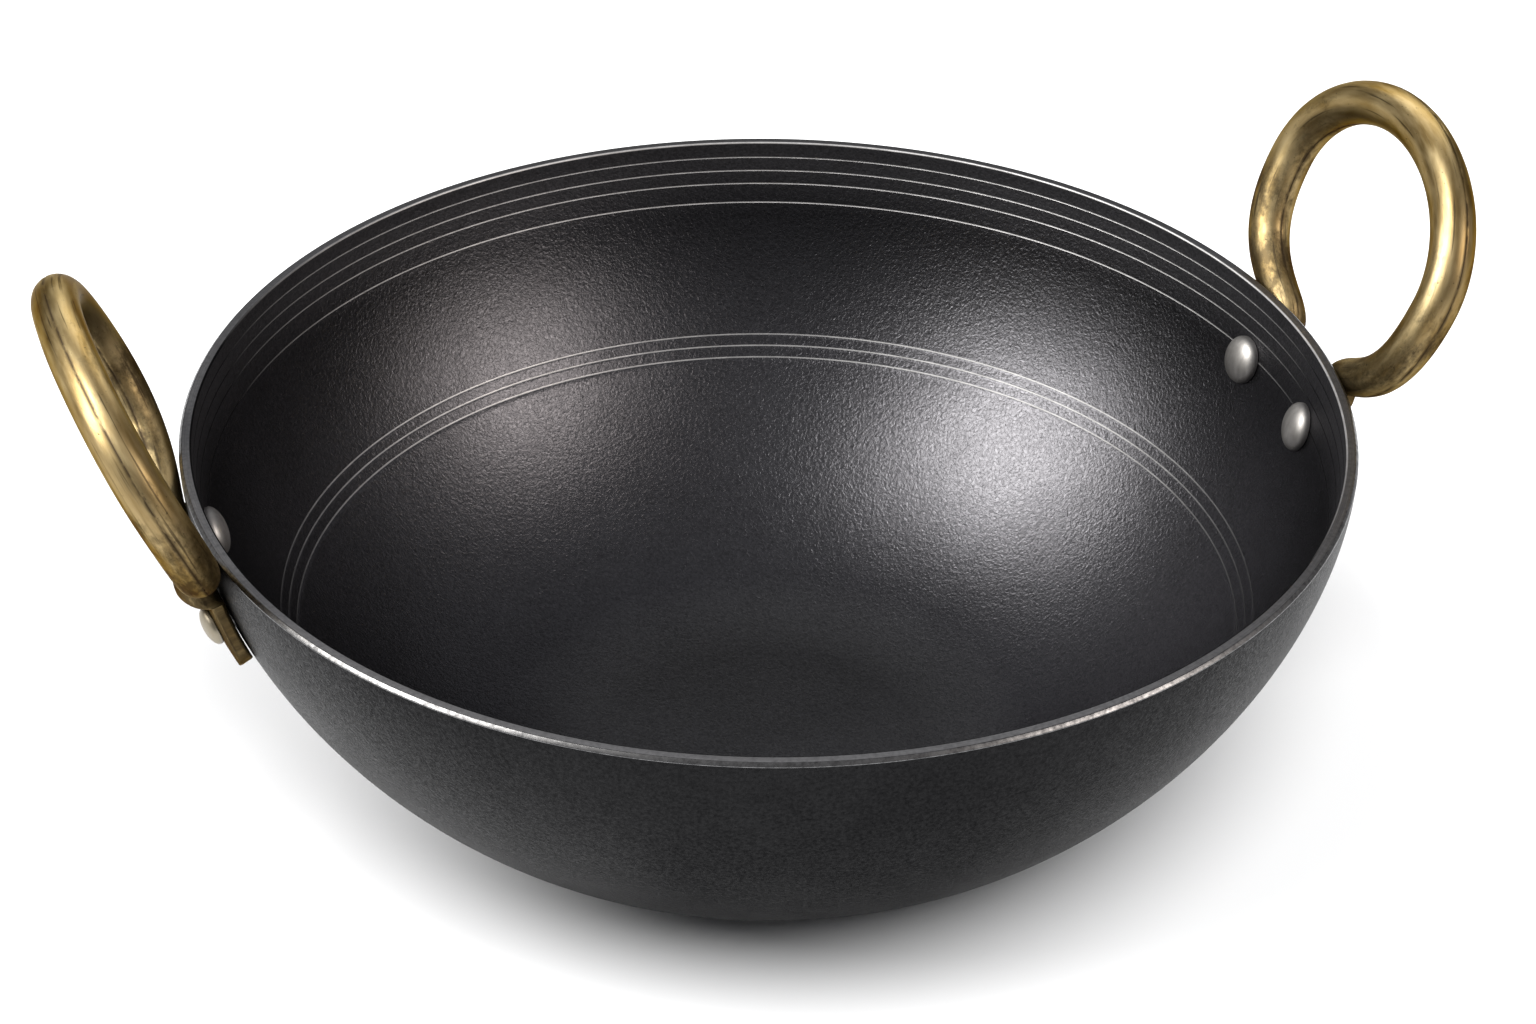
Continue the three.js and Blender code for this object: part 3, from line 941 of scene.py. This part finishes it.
def make_rivet(name, foot, end):
    points, faces = turned(rivet_profile(), RIVET_SIDES)
    place = rivet_matrix(foot, end)
    row = "back" if foot * end > 0 else "front"
    rivet = make_piece(f"stud_{name}_{row}", [place @ Vector(p) for p in points], faces, [STEEL])
    smooth_by_angle(rivet, SHARP_ANGLE)
    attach(rivet, "root")
    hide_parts(f"rivet_{name}_{row}")


make_pan()
loops = []
for end_name, end_sign in ENDS.items():
    loops.append(make_handle(end_name, end_sign))
    for foot_sign in FEET:
        make_rivet(end_name, foot_sign, end_sign)


# Stage, light and camera

RIM_MIDDLE = Vector((0, 0, PAN_DEPTH * MM))


def from_camera_side(turn, rise, distance):
    """A place by its turn from the camera's side, positive to the camera's right, and its rise."""
    across = distance * math.cos(rise)
    place = Vector((across * math.sin(turn), -across * math.cos(turn), distance * math.sin(rise)))
    place.rotate(Matrix.Rotation(CAMERA_TURN, 3, "Z"))
    return place


def make_floor():
    corners = ((-FLOOR_HALF, -FLOOR_HALF), (FLOOR_HALF, -FLOOR_HALF),
               (FLOOR_HALF, FLOOR_HALF), (-FLOOR_HALF, FLOOR_HALF))
    points = [(x, y, -FLOOR_DROP) for x, y in corners]
    ground = make_piece("floor", points, [((0, 1, 2, 3), ONLY)], [pale_floor()])
    return ground


def add_softbox(name, turn, rise, size, power, tint):
    """A lamp that faces the pan, by its angles in degrees, its size in metres and its watts."""
    data = bpy.data.lights.new(name, "AREA")
    data.shape = "RECTANGLE"
    data.size, data.size_y = size
    data.energy = power
    data.color = tint
    lamp = add_object(name, data)
    away = from_camera_side(math.radians(turn), math.radians(rise), LAMP_DISTANCE * MM)
    lamp.location = RIM_MIDDLE + away
    lamp.rotation_euler = (-away).to_track_quat("-Z", "Y").to_euler()
    return lamp


def add_floor_wash(name, turn, rise, spread, strength):
    """A far lamp, by its angles in degrees. The wider its spread, the softer its shadows."""
    data = bpy.data.lights.new(name, "SUN")
    data.angle = math.radians(spread)
    data.energy = strength
    lamp = add_object(name, data)
    away = from_camera_side(math.radians(turn), math.radians(rise), 1.0)
    lamp.rotation_euler = (-away).to_track_quat("-Z", "Y").to_euler()
    return lamp


def flag_lamp(lamp, things, state):
    """Shines a lamp on nothing but some things, or keeps it off them, as a studio flag does."""
    group = bpy.data.collections.new(f"{lamp.name}_flags")
    for thing in things:
        group.objects.link(thing)
    for member in group.collection_objects:
        member.light_linking.link_state = state
    lamp.light_linking.receiver_collection = group


def light_pan(floor, handles):
    left = add_softbox(
        "softbox_left", turn=-77, rise=42, size=(1.0, 1.0), power=42, tint=(1.0, 0.972, 0.93))
    flag_lamp(left, [floor, *handles], "EXCLUDE")
    right = add_softbox(
        "softbox_right", turn=67, rise=30, size=(0.8, 0.8), power=15.5, tint=(1.0, 0.905, 0.83))
    flag_lamp(right, [floor], "EXCLUDE")


def light_handles(handles):
    key = add_softbox(
        "handle_key", turn=172, rise=36, size=(1.4, 0.8), power=24, tint=(0.95, 0.97, 1.0))
    side = add_softbox(
        "handle_side", turn=-66, rise=50, size=(0.55, 2.1), power=138, tint=(0.93, 0.965, 1.0))
    for lamp in (key, side):
        flag_lamp(lamp, handles, "INCLUDE")


def light_floor(floor):
    left = add_floor_wash("wash_left", turn=-72, rise=52.5, spread=45, strength=3.73)
    right = add_floor_wash("wash_right", turn=21.5, rise=57.5, spread=38, strength=4.05)
    for lamp in (left, right):
        flag_lamp(lamp, [floor], "INCLUDE")


def make_world():
    """A dim room whose ceiling is bright."""
    world = bpy.data.worlds.new("studio")
    world.use_nodes = True
    tree = world.node_tree
    direction = add_node(tree, "ShaderNodeTexCoord").outputs["Generated"]
    share = remap(tree, axis_value(tree, direction, "Z"), CEILING, interpolation_type="SMOOTHSTEP")
    set_inputs(tree, tree.nodes["Background"], {"Color": mix_colour(tree, share, *ROOM)})
    bpy.context.scene.world = world


def make_camera():
    data = bpy.data.cameras.new("camera")
    data.lens = CAMERA_LENS
    data.sensor_width = CAMERA_SENSOR
    camera = add_object("camera", data)
    eye = from_camera_side(0.0, CAMERA_RISE, CAMERA_DISTANCE * MM)
    forward = -eye.normalized()
    right = forward.cross(UPRIGHT).normalized()
    up = right.cross(forward)
    pitch = Quaternion(right, CAMERA_PITCH)
    forward, up = pitch @ forward, pitch @ up
    roll = Quaternion(forward, CAMERA_ROLL)
    right, up = roll @ right, roll @ up
    facing = Matrix((right, up, -forward)).transposed().to_4x4()
    camera.matrix_world = Matrix.Translation(RIM_MIDDLE + eye) @ facing
    bpy.context.scene.camera = camera


stage_floor = make_floor()
make_world()
light_pan(stage_floor, loops)
light_handles(loops)
light_floor(stage_floor)
make_camera()
bpy.context.scene.view_settings.view_transform = "Standard"
